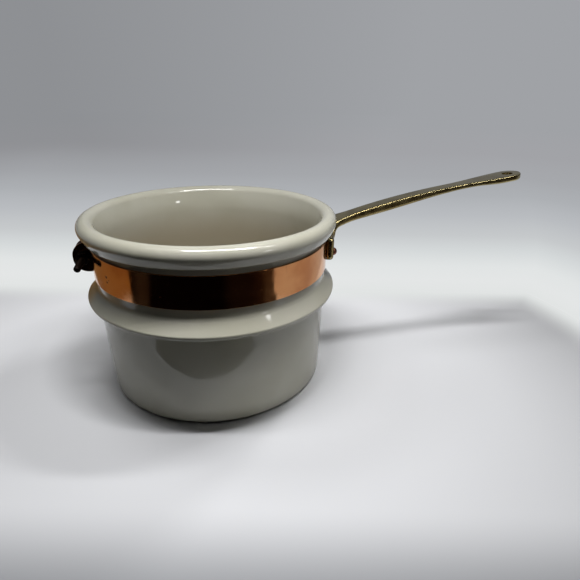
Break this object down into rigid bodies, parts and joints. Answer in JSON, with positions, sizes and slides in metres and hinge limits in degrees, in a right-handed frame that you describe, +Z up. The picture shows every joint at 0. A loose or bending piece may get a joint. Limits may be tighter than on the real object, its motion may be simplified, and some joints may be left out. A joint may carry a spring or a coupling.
{
  "type": "saucepan",
  "caption": "Deep round glazed porcelain saucepan with a thick rolled rim and a shoulder flange, held by a clamped copper band that carries a long cast brass handle.",
  "frame": {"origin": "centre of the base, on the surface the pan stands on", "axes": "+Z up along the pan's axis, +X along the handle, the band closes at -X"},
  "size_m": [0.3112, 0.1604, 0.1287],
  "materials": {
    "porcelain": "warm white glaze, glossy",
    "copper": "polished sheet copper",
    "brass": "cast brass, ground and aged to a brown olive",
    "rivet_copper": "copper rivet, tarnished dark",
    "dark_brass": "turned brass, tarnished nearly black"
  },
  "bodies": {
    "pan": {"porcelain_body": "porcelain", "copper_band": "copper", "brass_handle": "brass", "handle_rivet_front": "rivet_copper", "handle_rivet_back": "rivet_copper", "clamp_screw": "dark_brass"},
    "washer": {"clamp_washer": "dark_brass"},
    "nut": {"clamp_nut": "dark_brass"}
  },
  "joints": [
    {"name": "nut_travel", "type": "slide", "parent": "pan", "child": "washer", "axis": [0, -1, 0], "range_m": [0, 0.0163]},
    {"name": "nut_turn", "type": "hinge", "parent": "washer", "child": "nut", "pos_m": [-0.07943, -0.0072, 0.0855], "axis": [0, -1, 0], "range_deg": [0, 8370]}
  ],
  "couplings": [
    {"joint": "nut_travel", "follows": "nut_turn", "m_per_rad": 0.00011141}
  ]
}
